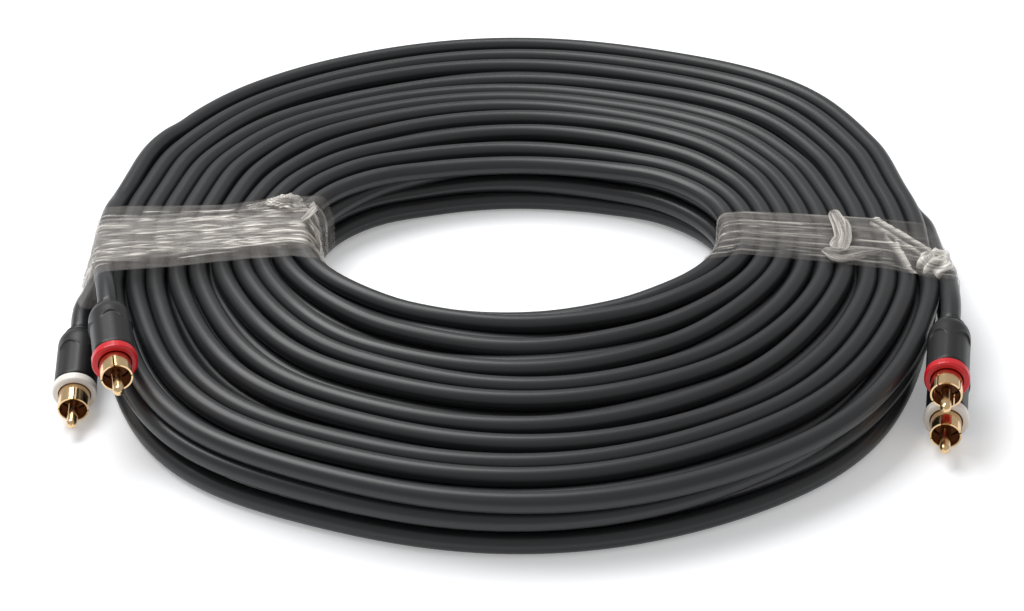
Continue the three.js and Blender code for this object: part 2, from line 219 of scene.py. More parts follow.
PLUGS = {
    "left_red": {"face": (-142.8, 2.6, COIL_HEIGHT + SHOULDER_REST), "heading": 12.5,
                 "tilt": SHOULDER_TILT},
    "left_white": {"face": (-150.9, 12.1, LONE_AXIS), "heading": 5, "tilt": LONE_TILT},
    "right_red": {"face": (-34.7, 12.3, PAIR_AXIS + PAIR_RISE), "heading": -11,
                  "tilt": PAIR_TILT},
    "right_white": {"face": (-34.9, 13.9, PAIR_AXIS), "heading": -11, "tilt": PAIR_TILT},
}
PLUG_BACK = RING_LENGTH + FIT_GAP + SOLID_BARREL_LENGTH + FIT_GAP


def beside_coil(place):
    """A point from its angle in degrees, its distance from the tied coil's edge, and its height."""
    angle = place[0] * DEGREE
    radius = outer_radius(angle) - TIE_NARROWING * tie_hold(angle) + place[1]
    return np.array([radius * np.cos(angle), radius * np.sin(angle), place[2]])


def plug_axis(plug):
    """The unit vector (sin h cos t, -cos h cos t, -sin t) of a plug with heading h and tilt t."""
    turn, drop = plug["heading"] * DEGREE, plug["tilt"] * DEGREE
    return np.array([np.sin(turn) * np.cos(drop), -np.cos(turn) * np.cos(drop), -np.sin(drop)])


def lead_points(end):
    """The free route from the coil to the back of the plug, in millimetres."""
    face, axis = beside_coil(PLUGS[end]["face"]), plug_axis(PLUGS[end])
    route = [beside_coil(place) for place in ROUTES[end]]
    return np.array(route + [face - axis * (PLUG_BACK + 2 * JACKET), face - axis * PLUG_BACK])


for end in ROUTES:
    print(end, lead_points(end)[-1].round(1))

# %% [markdown]
# ## Settling the turns
# Real cords lie where their neighbours let them. So the turns start in neat rows, get a slow random
# wander between the ties, and then settle: again and again they sink a little, are smoothed along
# their length as a stiff cord is, and are pushed apart wherever two of them are closer than a
# diameter. All of it happens in cross-sections of the coil, 96 round a turn, as whole arrays.

# %% Turns before they settle
STATIONS = 96
TURNS = 21
CORDS = ["white_cord", "red_cord"]
CORD_ENDS = {"white_cord": ("right_white", "left_white"), "red_cord": ("right_red", "left_red")}

count = TURNS * STATIONS + STATIONS // 2 + 1
angle = 2 * np.pi * np.arange(count) / STATIONS
wound = angle / (2 * np.pi)

# Columns from the hole: inwards for half of the turns, half a turn to climb, then outwards again
inmost = TURNS / 2
column = np.where(wound < inmost, inmost - wound, np.maximum(wound - inmost - 0.5, 0))
layer = smoothstep(wound, inmost - 0.75, inmost + 0.05)
width = outer_radius(angle) - hole_radius(angle)
outmost = inmost - 0.5 + 0.25 * np.sin(angle) + 0.5 * tie_hold(angle)
pitch = (width - JACKET) / outmost
layer_rise = (top_height(angle) - film_lift(angle) - JACKET) / (LAYERS - 1)
neat = np.stack([
    np.stack([HALF_JACKET + column * pitch,
              HALF_JACKET + film_lift(angle) + (layer + 2 * index) * layer_rise], -1)
    for index in range(len(CORDS))
])
print("stations on each cord:", count, "pitch at a tie:", round(float(pitch[0]), 2))

# %% [markdown]
# ### What may move and what may not
# The neat rows are only the start. A slow random wander loosens them between the ties. The places
# where a cord meets its free end are fixed, and the turns next to those ends keep clear of them.

# %% Wander and fixed ends
random = np.random.default_rng(7)


def wander(step, size):
    """Smooth noise along each cord: a random height every step stations, eased between them."""
    knots = random.normal(size=(len(CORDS), count // step + 3))
    place = np.arange(count) / step
    knot = place.astype(int)
    share = smoothstep(place - knot, 0, 1)
    return size * (knots[:, knot] * (1 - share) + knots[:, knot + 1] * share)


loose = smoothstep(np.abs(from_side(angle)), 12 * DEGREE, 45 * DEGREE)
target = neat.copy()
target[..., 0] += (wander(48, 1.3) + wander(24, 0.5)) * loose


def on_lead(end, degrees):
    """Where a lead crosses the section at some degrees from the side: radius and height."""
    route = lead_points(end)[:4]
    bearing = np.degrees(np.arctan2(route[:, 1], np.abs(route[:, 0])))[::-1]
    radius = np.interp(degrees, bearing, np.hypot(route[:, 0], route[:, 1])[::-1])
    return radius, np.interp(degrees, bearing, route[::-1, 2])


STATION_DEGREES = 360 / STATIONS
NEAR_END = 8
FAR_AWAY = 1e3
settled = target.copy()
held = np.zeros((len(CORDS), count), bool)
near_end = np.zeros((len(CORDS), count), bool)
near_end[:, :NEAR_END] = near_end[:, -NEAR_END:] = True
for index, cord in enumerate(CORDS):
    for end, stations in zip(CORD_ENDS[cord], ([0, 1], [count - 1, count - 2])):
        for step, station in enumerate(stations):
            radius, height = on_lead(end, step * STATION_DEGREES)
            settled[index, station] = radius - hole_radius(angle[station]), height
            held[index, station] = True
target[held] = neat[held] = fixed_places = settled[held]

# On the front side of each tie the leads lie beside the turns, which have to keep clear of them
leads_beside = np.full((STATIONS, 2, 2), FAR_AWAY)
for index, cord in enumerate(CORDS):
    for end, first, way in zip(CORD_ENDS[cord], (STATIONS, STATIONS // 2), (-1, 1)):
        for step in (1, 2, 3):
            station = first + way * step
            radius, height = on_lead(end, -step * STATION_DEGREES)
            leads_beside[station, index] = radius - hole_radius(angle[station]), height
print("held stations:", int(held.sum()))

# %% [markdown]
# ### Settling, round after round
# Blender's own rigid bodies or cloth could settle a rope, but 27 m of it would take minutes and change
# from run to run. Moving the circles of the cross-sections apart, as whole arrays, takes seconds and
# gives the same coil each time. The pull to the wandering rows is strong at first and ends at nothing.
# It isn't perfect: a few turns still overlap by about a millimetre, deep inside the coil at the back.

# %% Settle
passes = TURNS + 1
filled = np.zeros((len(CORDS), passes * STATIONS), bool)
filled[:, :count] = True
filled = filled.reshape(len(CORDS) * passes, STATIONS).T
both_filled = filled[:, :, None] & filled[:, None]
both_filled &= ~np.eye(len(CORDS) * passes, dtype=bool)

# Where the hole's edge slants across the section, turns are closer together than the section shows
slant = np.cos(np.arctan(HOLE_PINCH * np.abs(np.sin(2 * angle))
                         / (hole_radius(angle) + outer_radius(angle))))
section_slant = slant[:STATIONS, None]


def to_sections(places):
    """From cord x station to section x turn, with empty turns far away."""
    padded = np.full((len(CORDS), passes * STATIONS, 2), FAR_AWAY)
    padded[:, :count] = places
    return padded.reshape(-1, STATIONS, 2).transpose(1, 0, 2)


def to_cords(sections):
    """From section x turn back to cord x station."""
    return sections.transpose(1, 0, 2).reshape(len(CORDS), -1, 2)[:, :count]


def overlaps(sections, others, allowed):
    """How deep each turn lies in the others, and the sideways and upward shares of the way out."""
    sideways = sections[:, :, None, 0] - others[:, None, :, 0]
    upwards = sections[:, :, None, 1] - others[:, None, :, 1]
    distance = np.sqrt(sideways * sideways + upwards * upwards) + 1e-6
    depth = np.where(allowed & (distance < JACKET), JACKET - distance, 0)
    push = [(way * depth / distance).sum(2) for way in (sideways, upwards)]
    return depth, np.stack(push, -1)


def push_apart(places):
    """Moves two turns that overlap apart along the line between them, by half of the overlap each."""
    sections = to_sections(places)
    sections[..., 0] *= section_slant
    depth, push = overlaps(sections, sections, both_filled)
    push /= 2 * np.maximum(1, 0.6 * (depth > 0).sum(2))[..., None]
    push += overlaps(sections, leads_beside, filled[:, :, None])[1]
    push[..., 0] /= section_slant
    return places + to_cords(push), depth.max()


def keep_inside(places):
    """Keeps turns above the floor or film, under the coil's top, and between its hole and its edge."""
    across, up = places[..., 0], places[..., 1]
    across = np.where(near_end, across, np.clip(across, HALF_JACKET, width - HALF_JACKET))
    up = np.maximum(up, HALF_JACKET + film_lift(angle))
    up = np.where(near_end, up, np.minimum(up, top_height(angle) - HALF_JACKET))
    return np.stack([across, up], -1)


def eased(offset, times):
    """Each station moves halfway to the mean of its two neighbours on the cord, some times over."""
    for _ in range(times):
        offset[:, 1:-1] += (offset[:, :-2] + offset[:, 2:] - 2 * offset[:, 1:-1]) / 4
    return offset


def settle(places, rounds, pull, sink, times):
    """Rounds of: smooth along the cord, pull to the target, sink, push apart and keep inside."""
    for _ in range(rounds):
        places = neat + eased(places - neat, times)
        places += pull * (target - places)
        places[..., 1] -= sink
        places, worst = push_apart(places)
        places = keep_inside(places)
        places[held] = fixed_places
    return places, worst


# Rounds, pull, sink in millimetres and smoothing passes of each stage
for stage in [(120, 0.05, 0.03, 8), (200, 0.02, 0.03, 6), (100, 0, 0, 4), (150, 0, 0, 2)]:
    settled, deepest = settle(settled, *stage)
    print("rounds:", stage[0], "deepest overlap in millimetres:", round(float(deepest), 2))

# %% [markdown]
# ## The cords
# Each cord is one tube from plug to plug, so its length is real. It goes through the points of its
# right lead backwards, round all the turns, and out along its left lead. A curve through points needs
# care at uneven spacing: the centripetal kind of Catmull-Rom curve has no loops or overshoot there.

# %% Cord paths
CORD_STEP = 4.2
CORD_SIDES = 22


def smooth_curve(points, step):
    """A centripetal Catmull-Rom curve: cubics whose parameter grows by the root of each distance."""
    p = np.array([2 * points[0] - points[1], *points, 2 * points[-1] - points[-2]])
    gap = np.sqrt(np.linalg.norm(np.diff(p, axis=0), axis=1))
    pieces = []
    for index in range(1, len(p) - 2):
        before, between, after = gap[index - 1], gap[index], gap[index + 1]
        start, stop = p[index], p[index + 1]
        slope_in = ((start - p[index - 1]) / before - (stop - p[index - 1]) / (before + between)
                    + (stop - start) / between) * between
        slope_out = ((stop - start) / between - (p[index + 2] - start) / (between + after)
                     + (p[index + 2] - stop) / after) * between
        steps = max(1, int(np.ceil(between ** 2 / step)))
        share = np.linspace(0, 1, steps, endpoint=False)[:, None]
        pieces.append((2 * share ** 3 - 3 * share ** 2 + 1) * start
                      + (share ** 3 - 2 * share ** 2 + share) * slope_in
                      + (3 * share ** 2 - 2 * share ** 3) * stop
                      + (share ** 3 - share ** 2) * slope_out)
    return np.concatenate([*pieces, p[-2:-1]])


radius = settled[..., 0] + hole_radius(angle)
turns = np.stack([radius * np.cos(angle), radius * np.sin(angle), settled[..., 1]], -1)
cord_paths = {}
for index, cord in enumerate(CORDS):
    right, left = (lead_points(end) for end in CORD_ENDS[cord])
    points = np.concatenate([right[:0:-1], turns[index, 1:-1], left[1:]])
    cord_paths[cord] = smooth_curve(points, CORD_STEP) * MM
    print(cord, "points:", len(cord_paths[cord]), "length:",
          round(float(np.linalg.norm(np.diff(cord_paths[cord], axis=0), axis=1).sum()), 3))

# %% [markdown]
# ### One tube for each cord
# A ring of 22 points is carried along each path. The tube stands for the solid ring of the coil and for
# its own two solid leads, so those solids are replaced by it.

# %% Cord tubes
PLUG_PARTS = ("barrel", "colour_ring", "ground_shell", "insulator", "pin")
cord_pieces = {}
for cord in CORDS:
    path = cord_paths[cord]
    piece = tube(cord, path, HALF_JACKET * MM, CORD_SIDES)
    right, left = CORD_ENDS[cord]
    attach(piece, "root")
    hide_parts("cable_coil", f"{right}_lead", f"{left}_lead")
    cord_pieces[cord] = piece
    print(cord, "faces:", len(piece.data.polygons))

# %% [markdown]
# ## Plug barrels
# A moulded barrel holds each plug. It is round, with a bullet-shaped shoulder at the rear and a small
# collar round the cord. Four shallow finger panels are sunk into its sides, and each ends in a raised,
# round lip that catches the light. A turned solid with four cuts has hard facets, so here the barrel is
# a surface of two parameters, and the panels are a soft dent in its radius.

# %% Barrel surface
BARREL_RADIUS, BARREL_LENGTH = 6.4, 23.5
COLLAR_RADIUS, SHOULDER_START, SHOULDER_END = 4.9, 17.6, 21.4
PANEL_DEPTH, PANEL_HALF_WIDTH, PANEL_END = 0.24, 3.4, 15.0
BARREL_FRONT = RING_LENGTH + FIT_GAP
FRONT_EDGE, GROOVE_DEPTH, REAR_EDGE, LIP_HEIGHT = 0.4, 0.7, 0.5, 0.26
BARREL_SIDES = 120
ROLLS = {"left_red": -6, "left_white": 24, "right_red": 42, "right_white": 20}


def barrel_radius(back, turn):
    """Radius at a way back from the front and at a turn: a profile less the depth of the finger panels.

    The profile is a small edge, a straight body, a quarter of an ellipse down to the collar, and the
    collar with a fine groove before it. A panel is sunk where the distance across it is less than half
    its width and the way back is less than its rounded end, and a lip stands just behind that end.
    """
    past = (back - SHOULDER_START) / (SHOULDER_END - SHOULDER_START)
    shoulder = np.sqrt(np.clip(1 - past ** 2, 0, 1))
    body = np.where(back < SHOULDER_START, BARREL_RADIUS,
                    COLLAR_RADIUS + (BARREL_RADIUS - COLLAR_RADIUS) * shoulder)
    body = body - FRONT_EDGE * (1 - smoothstep(back, -0.2, 0.5))
    body = body - GROOVE_DEPTH * np.exp(-((back - SHOULDER_END - 0.3) / 0.3) ** 2)
    body = body - REAR_EDGE * smoothstep(back, BARREL_LENGTH - 0.6, BARREL_LENGTH + 0.2)
    nearest = (turn + np.pi / 4) % (np.pi / 2) - np.pi / 4
    across = np.abs(BARREL_RADIUS * np.sin(nearest))
    end = PANEL_END - 2.4 * (across / PANEL_HALF_WIDTH) ** 2
    inside = (1 - smoothstep(across, PANEL_HALF_WIDTH - 1.8, PANEL_HALF_WIDTH + 0.5)) * (
        1 - smoothstep(back, end - 0.2, end + 0.2))
    lip = np.exp(-((back - end - 0.35) / 0.28) ** 2) * (1 - smoothstep(across, 2.4, 3.6))
    return body - PANEL_DEPTH * inside + LIP_HEIGHT * lip


# Rows lie closer where the panels end and the shoulder begins
back_rows = np.concatenate([np.linspace(0, 10, 14), np.linspace(10.3, 17.4, 48),
                            np.linspace(17.7, BARREL_LENGTH, 36)])
turn_columns = 2 * np.pi * np.arange(BARREL_SIDES) / BARREL_SIDES
barrels = {}
for end, plug in PLUGS.items():
    axis = plug_axis(plug)
    sideways = np.cross(axis, [0, 0, 1])
    sideways /= np.linalg.norm(sideways)
    upwards = np.cross(sideways, axis)
    across_line = (np.cos(turn_columns)[:, None] * upwards
                   + np.sin(turn_columns)[:, None] * sideways)[None]
    radius = barrel_radius(back_rows[:, None], turn_columns[None, :] - ROLLS[end] * DEGREE)
    points = (beside_coil(plug["face"]) - axis * (BARREL_FRONT + back_rows[:, None, None])
              + radius[..., None] * across_line)
    last = (len(back_rows) - 1) * BARREL_SIDES
    caps = [range(BARREL_SIDES), range(last + BARREL_SIDES - 1, last - 1, -1)]
    quads = grid_faces(len(back_rows), BARREL_SIDES, True)[:, ::-1]
    barrels[end] = make_mesh(f"{end}_moulded_barrel", points * MM, quads, caps)
    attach(barrels[end], "root")
    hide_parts(f"{end}_barrel")
    print(barrels[end].name, "faces:", len(barrels[end].data.polygons))

# %% [markdown]
# ## The film
# Two ties of clear stretch film hold the coil. Real stretch film is a fraction of a hair thick, and
# ten turns of it make a milky band. It is pulled taut, so across the coil it follows the convex outline
# of the cords inside it, and only its own layers wrinkle, into ridges that run along the pull. So each
# band is a surface of two parameters: one goes round the outline, and the other goes from the front
# edge to the back edge. The outline comes from the settled cords, so the band touches them.

# %% Taut outline
FILM_TURN = 9 * DEGREE
FILM_CLEARANCE = 0.25
SLICES = np.arange(-34, 37, 2.0)
DIRECTIONS = np.linspace(0, 2 * np.pi, 361)[:-1]
HOLE_SIDE = 30
STEEPEST = 3


def tie_frame(points, side):
    """Millimetre points in a tie's own frame: X outwards along the tie, Y beside it, Z up."""
    turn = -side * FILM_TURN
    x = points[..., 0] * np.cos(turn) + points[..., 1] * np.sin(turn)
    y = -points[..., 0] * np.sin(turn) + points[..., 1] * np.cos(turn)
    return np.stack([side * x, y, points[..., 2]], -1)


def from_tie_frame(points, side):
    """Metre points in the common frame from millimetre points in a tie's own frame."""
    turn = -side * FILM_TURN
    x, y = side * points[..., 0], points[..., 1]
    return np.stack([x * np.cos(turn) - y * np.sin(turn),
                     x * np.sin(turn) + y * np.cos(turn), points[..., 2]], -1) * MM


def crossings(side, beside):
    """Where cords cross the upright plane beside a tie's line: X, Z, and how both change with Y."""
    found = []
    for cord in CORDS:
        points = tie_frame(cord_paths[cord] / MM, side)
        start, stop = points[:-1], points[1:]
        crossed = ((start[:, 1] - beside) * (stop[:, 1] - beside) <= 0) & (start[:, 0] > HOLE_SIDE)
        start, step = start[crossed], (stop - start)[crossed]
        step[:, 1] += 1e-9
        slope = step[:, [0, 2]] / step[:, 1:2]
        places = start[:, [0, 2]] + (beside - start[:, 1:2]) * slope
        found.append(np.hstack([places, np.clip(slope, -STEEPEST, STEEPEST)]))
    return np.concatenate(found)


def taut_reach(side, middle, bearing):
    """Distance from a middle to the convex outline along each bearing, for each slice.

    A cord that crosses the slice aslant leaves an ellipse on it. The ellipse's support in a direction
    is its middle's share of that direction, plus the cord's radius times the root of 1 and the squared
    slope. The outline's reach along a bearing is the least of all supports, each divided by the cosine
    between the two.
    """
    cosine = np.cos(bearing[:, None] - DIRECTIONS[None, :])
    cosine = np.where(cosine > 0.02, cosine, np.nan)
    reach = []
    for beside in SLICES:
        x, z, slope_x, slope_z = crossings(side, beside).T[:, :, None]
        slope = slope_x * np.cos(DIRECTIONS) + slope_z * np.sin(DIRECTIONS)
        support = ((x - middle[0]) * np.cos(DIRECTIONS) + (z - middle[1]) * np.sin(DIRECTIONS)
                   + (HALF_JACKET + FILM_CLEARANCE) * np.sqrt(1 + slope ** 2)).max(0)
        reach.append(np.nanmin(support / cosine, axis=1))
    return np.array(reach)


film_middle = np.array([101.0, 11.5])
ROUND_STEPS = 340
even = np.linspace(-np.pi, np.pi, 721)


def even_bearings(side):
    """Bearings whose points lie evenly along the outline, starting at the hole's side."""
    reach = taut_reach(side, film_middle, even)[len(SLICES) // 2]
    outline = np.stack([reach * np.cos(even), reach * np.sin(even)], -1)
    run = np.r_[0, np.cumsum(np.linalg.norm(np.diff(outline, axis=0), axis=1))]
    return np.interp(np.linspace(0, run[-1], ROUND_STEPS + 1)[:-1], run, even), run[-1]


for side in (-1, 1):
    print("tie", side, "length round the coil in millimetres:", round(float(even_bearings(side)[1]), 1))

# %% [markdown]
# ### From an outline to a band
# The band's edges aren't straight, because it was wound by hand. Its front and back edges are short
# tables: how far beside the tie's line the film ends, at some distances out from the coil's middle.

# %% Film surface
ACROSS_STEPS = 100


class Tie:
    """A tie's outline and its edges, as functions of the way round and the way across.

    recess is how far the front edge steps back, in millimetres, low down on the outer side of the coil.
    """

    def __init__(self, side, front_edge, back_edge, recess=0.0):
        self.side = side
        self.bearing, self.length = even_bearings(side)
        self.reach = taut_reach(side, film_middle, self.bearing)
        self.front_edge, self.back_edge, self.recess = front_edge, back_edge, recess

    def place(self, turn_index, share, lift=0.0):
        """The middle plus reach times the bearing, at Y = front edge + share (back edge - front edge).

        turn_index picks bearings, share runs across the band, and lift is millimetres off the outline.
        """
        bearing = self.bearing[turn_index]
        beside = self.beside(turn_index, share)
        slice_place = np.clip((beside - SLICES[0]) / (SLICES[1] - SLICES[0]), 0, len(SLICES) - 1.001)
        low = slice_place.astype(int)
        between = slice_place - low
        reach = self.reach[low, turn_index] * (1 - between) + self.reach[low + 1, turn_index] * between
        return np.stack([film_middle[0] + (reach + lift) * np.cos(bearing), beside,
                         film_middle[1] + (reach + lift) * np.sin(bearing)], -1)

    def outward(self, turn_index):
        """X of the outline at a bearing, used to let the edges follow what the eye sees."""
        middle_slice = len(SLICES) // 2
        return film_middle[0] + self.reach[middle_slice, turn_index] * np.cos(self.bearing[turn_index])

    def beside(self, turn_index, share):
        """Y at a share of the way from the front edge to the back edge."""
        outward = self.outward(turn_index)
        reach = self.reach[len(SLICES) // 2, turn_index]
        height = film_middle[1] + reach * np.sin(self.bearing[turn_index])
        low_outside = smoothstep(outward, 112, 128) * (1 - smoothstep(height, 12, 22))
        front = np.interp(outward, *self.front_edge) + self.recess * low_outside
        back = np.interp(outward, *self.back_edge)
        return front + share * (back - front)


# The left band steps back low down outside, so that the white lead comes out in front of it
LEFT_RECESS = 20.0
left_tie = Tie(-1, ([62, 66, 75, 90, 105, 120, 134], [-15, -13, -11, -13.5, -18, -23, -28.5]),
               ([62, 66, 75, 82, 93, 115, 130], [24, 26, 26.5, 25, 22.8, 24.2, 25.5]), LEFT_RECESS)
right_tie = Tie(1, ([62, 66, 73, 97, 119, 130], [-13, -12, -9.2, -9.6, -11, -15]),
                ([62, 66, 73, 90, 115, 132], [14, 15, 17.3, 18.4, 19.4, 18.8]))
for tie in (left_tie, right_tie):
    width_there = np.interp(film_middle[0], *tie.back_edge) - np.interp(film_middle[0], *tie.front_edge)
    print("tie", tie.side, "width over its middle:", round(float(width_there), 1))

# %% [markdown]
# ### Wrinkles
# Where the layers of film don't lie flat, light catches their ridges and the band turns white, so a
# ridge is partly milky film and partly a painted highlight. Each ridge is a line that keeps to one
# share of the width, wanders slowly, and fades in and out. The same numbers lift the surface and go
# into an attribute on the mesh, which the finish reads later as milky white and painted highlight.

# %% Ridges
WANDER_KNOTS, FADE_KNOTS = 9, 26


def round_noise(generator, rows, knots):
    """Smooth noise that closes on itself: random heights at some knots, eased between, -1 to 1."""
    heights = generator.uniform(-1, 1, (rows, knots))
    place = np.arange(ROUND_STEPS) / ROUND_STEPS * knots
    knot = place.astype(int)
    share = smoothstep(place - knot, 0, 1)
    return heights[:, knot] * (1 - share) + heights[:, (knot + 1) % knots] * share


def ridge_field(tie, middles, wide, drift, generator, broken=0.35):
    """Sum over ridges of strength exp(-((share - middle) / width)^2), on the grid across x round."""
    share = np.linspace(0, 1, ACROSS_STEPS)
    centre = np.asarray(middles)[:, None] + drift * round_noise(generator, len(middles), WANDER_KNOTS)
    fade = round_noise(generator, len(middles), FADE_KNOTS)
    strength = np.clip(fade * 0.8 + 1 - broken * 2, 0, 1)
    every = np.arange(ROUND_STEPS)
    across = (tie.beside(every, 1.0) - tie.beside(every, 0.0))[None, :]
    gap = (share[None, :, None] - centre[:, None, :]) * across
    return (strength[:, None, :] * np.exp(-(gap / wide) ** 2)).sum(0)


print("grid of a band:", ACROSS_STEPS, "x", ROUND_STEPS)

# %% [markdown]
# ### Mesh of a band
# The ridges lift the band only where it is off the table. A Solidify modifier gives it a wall, so that
# light enters and leaves it, and the milkiness with its painted highlights goes to the mesh as one
# number for each point.

# %% Band mesh
WALL = 0.14


# Milkiness and painted highlights go to the mesh as one number for each point
def add_haze_and_highlight(piece, haze_and_highlight):
    layer = piece.data.attributes.new("haze_and_highlight", "FLOAT", "POINT")
    layer.data.foreach_set("value", np.clip(haze_and_highlight, 0, 1).ravel())


def thicken(piece, thickness=WALL):
    wall = piece.modifiers.new("wall", "SOLIDIFY")
    wall.thickness, wall.offset = thickness * MM, -1
    return piece


def film_band(tie, name, lift, haze_and_highlight):
    """The band's points on the grid across x round, uv in millimetres, and milkiness with painted
    highlights.
    """
    every, share = np.arange(ROUND_STEPS)[None, :], np.linspace(0, 1, ACROSS_STEPS)[:, None]
    every, share = np.broadcast_arrays(every, share)
    flat = tie.place(every, share)
    points = tie.place(every, share, lift * smoothstep(flat[..., 2], 2.0, 5.0))
    uv = np.stack([every * tie.length / ROUND_STEPS, points[..., 1]], -1)
    quads = grid_faces(ACROSS_STEPS, ROUND_STEPS, True)
    outward_quads = quads[:, ::-1] if tie.side > 0 else quads
    piece = make_mesh(name, from_tie_frame(points, tie.side), outward_quads, uv=uv)
    add_haze_and_highlight(piece, haze_and_highlight)
    return thicken(piece)


print("film wall in millimetres:", WALL)

# %% [markdown]
# ### The left band
# The left tie has the most layers. It gets broad ridges, finer streaks among them, and short bright
# glints, all thickest in the middle of its width. The glints are painted highlights, and the ridges
# and streaks are partly milky film and partly painted highlight.

# %% Left band
random = np.random.default_rng(21)
share_rows = np.linspace(0, 1, ACROSS_STEPS)[:, None]
left_ridges = ridge_field(left_tie, np.linspace(0.22, 0.88, 17) + random.uniform(-0.02, 0.02, 17),
                          0.5, 0.03, random)
left_streaks = ridge_field(left_tie, random.uniform(0.2, 0.84, 44), 0.3, 0.06, random, 0.48)
# Glints: thin lines painted white into the film, painted highlights
left_painted_glints = ridge_field(left_tie, random.uniform(0.12, 0.9, 40), 0.26, 0.03, random, 0.68)
left_middle = smoothstep(share_rows, 0.14, 0.3) * (1 - smoothstep(share_rows, 0.72, 0.88))
# Milky film, and painted highlights from the ridges, streaks and glints
left_haze_and_highlight = 0.09 + 0.15 * left_middle + 0.24 * left_ridges + 0.34 * left_streaks + 2.8 * left_painted_glints
left_film = film_band(left_tie, "left_film", 0.7 * left_ridges + 0.4 * left_streaks, left_haze_and_highlight)
print("left haze, middle value:", round(float(np.median(left_haze_and_highlight)), 2))

# %% [markdown]
# ### The right band
# On the right the edges of single layers show as lines that run all the way round. Near the outer edge
# its corner is folded over, so folds cross the band there and one clear layer is left behind them.
# The layer edges and streaks are partly milky film and partly painted highlight, and the glints and
# the lighter folds are painted highlights.

# %% Right band
LAYER_EDGES = [0.97, 0.78, 0.70, 0.52, 0.36, 0.10]
CORNER_FOLD = ([114, 132.5], [19.4, 1.8])

right_edges = ridge_field(right_tie, LAYER_EDGES, 0.36, 0.008, random, 0.1)
right_streaks = ridge_field(right_tie, random.uniform(0.1, 0.97, 24), 0.35, 0.05, random, 0.5)
# Glints: thin lines painted white into the film, painted highlights
right_painted_glints = ridge_field(right_tie, random.uniform(0.1, 0.95, 16), 0.26, 0.04, random, 0.68)
right_middle = smoothstep(share_rows, 0.05, 0.4) * 0.08
every_turn = np.arange(ROUND_STEPS)[None, :]
right_outward = right_tie.outward(every_turn)
right_beside = right_tie.beside(every_turn, share_rows)
on_top = np.sin(right_tie.bearing)[None, :] > 0


def fold_line(outward, beside, wide):
    """exp(-(distance / width)^2) from a line across the band, given by its ends, on the top only."""
    line = np.interp(right_outward, outward, beside, left=99, right=99)
    slope = (beside[1] - beside[0]) / (outward[1] - outward[0])
    return np.exp(-((right_beside - line) / np.hypot(1, slope) / wide) ** 2) * on_top


folds = (fold_line(*CORNER_FOLD, 0.7) + 0.6 * fold_line([113, 131], [16.6, -2], 0.6)
         + 0.8 * fold_line([121, 127], [6, -14], 0.8) + 0.5 * fold_line([118, 126], [9, -9], 0.7))
behind_fold = smoothstep(right_beside - np.interp(right_outward, *CORNER_FOLD), 0.5, 2.0)
single_layer = np.where((right_outward > CORNER_FOLD[0][0]) & on_top, behind_fold, 0)
# Milky layers, with painted highlights from the layer edges, streaks and glints
right_haze_and_highlight = 0.04 + right_middle + 0.34 * right_edges + 0.2 * right_streaks + 1.3 * right_painted_glints
# The folds are lifted and also painted lighter, a painted highlight along each fold
right_film = film_band(right_tie, "right_film", 0.4 * right_edges + 0.4 * right_streaks + 1.0 * folds,
                       right_haze_and_highlight * (1 - 0.75 * single_layer) + 0.6 * folds)
for film, solid in ((left_film, "left_film_wrap"), (right_film, "right_film_wrap")):
    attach(film, "root")
    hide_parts(solid)
    print(film.name, "faces:", len(film.data.polygons))

# %% [markdown]
# ### Crumpled ends
# Where the film was torn off, its last layers bunch up into small white lumps, loops and tails. Cloth
# simulation could crumple a sheet, but it is slow and hard to steer to one shape. So a lump is a
# flattened ball whose radius is cut by folds in many directions.

# %% Lumps
BALL_ROWS, BALL_COLUMNS = 44, 72


def crumple(name, tie, middle, size, seed, folds=9, depth=0.34, haze_and_highlight=0.5):
    """middle + size * ball * (1 + depth * folds), where each fold is 1 - 2 |sin(direction . ball)|."""
    generator = np.random.default_rng(seed)
    down = np.linspace(0.02, 0.98, BALL_ROWS)[:, None] * np.pi
    turn = np.linspace(0, 2 * np.pi, BALL_COLUMNS + 1)[:-1][None, :]
    ball = np.stack(np.broadcast_arrays(np.sin(down) * np.cos(turn), np.sin(down) * np.sin(turn),
                                        np.cos(down)), -1)
    directions = generator.normal(size=(3, folds)) * generator.uniform(1.5, 5.5, folds)
    fold = (1 - 2 * np.abs(np.sin(ball @ directions + generator.uniform(0, 6, folds))))
    weight = generator.uniform(0.3, 1, folds)
    fold = (fold * weight).sum(-1) / weight.sum()
    points = np.asarray(middle) + np.asarray(size) * ball * (1 + depth * fold)[..., None] / 2
    last = (BALL_ROWS - 1) * BALL_COLUMNS
    caps = [range(BALL_COLUMNS), range(last + BALL_COLUMNS - 1, last - 1, -1)]
    uv = np.stack(np.broadcast_arrays(turn * 3, down * 4), -1)
    quads = grid_faces(BALL_ROWS, BALL_COLUMNS, True)
    piece = make_mesh(name, from_tie_frame(points, tie.side), quads, caps, uv=uv)
    # The fold ridges are painted lighter: milky film with a painted highlight on each ridge
    add_haze_and_highlight(piece, haze_and_highlight * (0.5 + smoothstep(fold, -0.4, 0.35)))
    return piece


print("points of a lump:", BALL_ROWS * BALL_COLUMNS)

# %% [markdown]
# ### Rolls and strips
# Where a free edge of film is pulled tight it twists into a fluted roll, which is a flattened tube
# along a line. A loose flap or tail stays a thin strip with its own ripple, between two lines.

# %% Rolls and strips
ROLL_ROWS, ROLL_COLUMNS = 64, 48
STRIP_ROWS, STRIP_COLUMNS = 48, 20


def through(corners, steps):
    """A line through some corners: the place of each step among the corners, and its point."""
    corners = np.asarray(corners, float)
    along = np.linspace(0, len(corners) - 1, steps)
    knots = np.arange(len(corners))
    return along, np.stack([np.interp(along, knots, corners[:, axis]) for axis in range(3)], -1)


